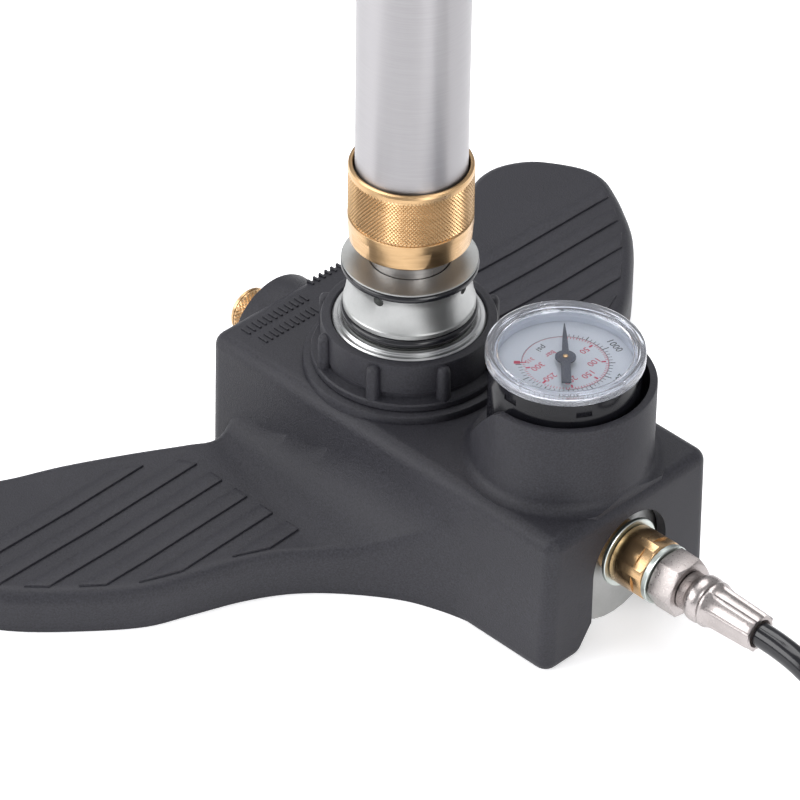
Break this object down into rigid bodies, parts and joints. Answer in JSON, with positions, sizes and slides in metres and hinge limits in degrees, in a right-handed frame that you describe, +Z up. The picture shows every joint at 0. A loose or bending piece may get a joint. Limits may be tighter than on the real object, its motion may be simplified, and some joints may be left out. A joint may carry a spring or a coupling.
{
  "type": "high-pressure floor hand pump",
  "caption": "Upright high-pressure hand pump: steel tube with T-handle on a winged moulded foot plate, with pressure gauge, bleed valve and hose.",
  "frame": {"origin": "where the pump tube's axis meets the floor, on the foot pad under the tube", "axes": "+Z up along the pump tube; +X towards the gauge and the hose outlet; the foot wings and the handle bar lie along Y"},
  "size_m": [0.4217, 0.3408, 0.6428],
  "materials": {
    "nylon": "satin",
    "rubber": "satin",
    "gloss_black": "gloss",
    "hose_black": "gloss",
    "steel": "satin",
    "aluminium": "satin",
    "brass": "satin",
    "nickel": "satin",
    "zinc": "satin",
    "dial_white": "satin",
    "pointer_blue": "satin",
    "clear": "gloss",
    "bronze": "satin"
  },
  "bodies": {
    "base": {"base_shell": "nylon", "manifold_block": "aluminium", "seat_socket": "aluminium", "gland_body": "aluminium", "gland_oring_lower": "rubber", "gland_oring_upper": "rubber", "check_valve_spring": "steel", "inner_tube": "steel", "pressure_tube": "steel", "piston_head": "brass", "piston_seal": "rubber", "gauge_case": "gloss_black", "gauge_window": "clear", "gauge_stem": "brass", "gauge_dial": "dial_white", "gauge_movement": "brass", "bourdon_tube": "bronze", "outlet_adapter": "brass", "outlet_washer": "zinc", "bonded_washer": "zinc", "hose_nut": "nickel", "hose_insert": "nickel", "hose_ferrule": "nickel", "hose": "hose_black", "hose_coil": "hose_black", "hose_tail": "hose_black", "coupler_ferrule": "nickel", "coupler_body": "nickel", "coupler_spring": "steel", "bleed_bush": "brass"},
    "nut": {"ring_nut": "nylon"},
    "guide": {"guide_bush": "bronze", "wiper_seal": "rubber"},
    "handle": {"brass_collar": "brass", "outer_tube": "steel", "handle_cap": "nylon", "handle_screw": "steel", "crossbar": "steel", "grip_left": "rubber", "grip_right": "rubber", "pressure_rod": "steel", "rod_seal": "rubber"},
    "bleed": {"bleed_knob": "brass", "bleed_spindle": "steel"},
    "pointer": {"gauge_pointer": "pointer_blue"},
    "valve": {"check_valve_ball": "steel"},
    "sleeve": {"coupler_sleeve": "nickel"}
  },
  "joints": [
    {"name": "pump_stroke", "type": "slide", "parent": "base", "child": "guide", "axis": [0, 0, 1], "range_m": [0, 0.44]},
    {"name": "handle_turn", "type": "hinge", "parent": "guide", "child": "handle", "pos_m": [0, 0, 0.6248], "axis": [0, 0, 1], "continuous": true},
    {"name": "ring_nut_turn", "type": "hinge", "parent": "base", "child": "nut", "pos_m": [0, 0, 0.0739], "axis": [0, 0, 1], "range_deg": [0, 720]},
    {"name": "bleed_turn", "type": "hinge", "parent": "base", "child": "bleed", "pos_m": [-0.0675, 0, 0.033], "axis": [-1, 0, 0], "range_deg": [0, 540]},
    {"name": "pointer_turn", "type": "hinge", "parent": "base", "child": "pointer", "pos_m": [0.073, 0, 0.0917], "axis": [0, 0, -1], "range_deg": [0, 270]},
    {"name": "valve_lift", "type": "slide", "parent": "base", "child": "valve", "axis": [0, 0, -1], "range_m": [0, 0.0012], "stiffness_N_per_m": 150, "springref_m": -0.002, "deforming": ["check_valve_spring"]},
    {"name": "sleeve_pull", "type": "slide", "parent": "base", "child": "sleeve", "axis": [1, 0, 0], "range_m": [0, 0.004], "stiffness_N_per_m": 800, "springref_m": -0.002}
  ]
}
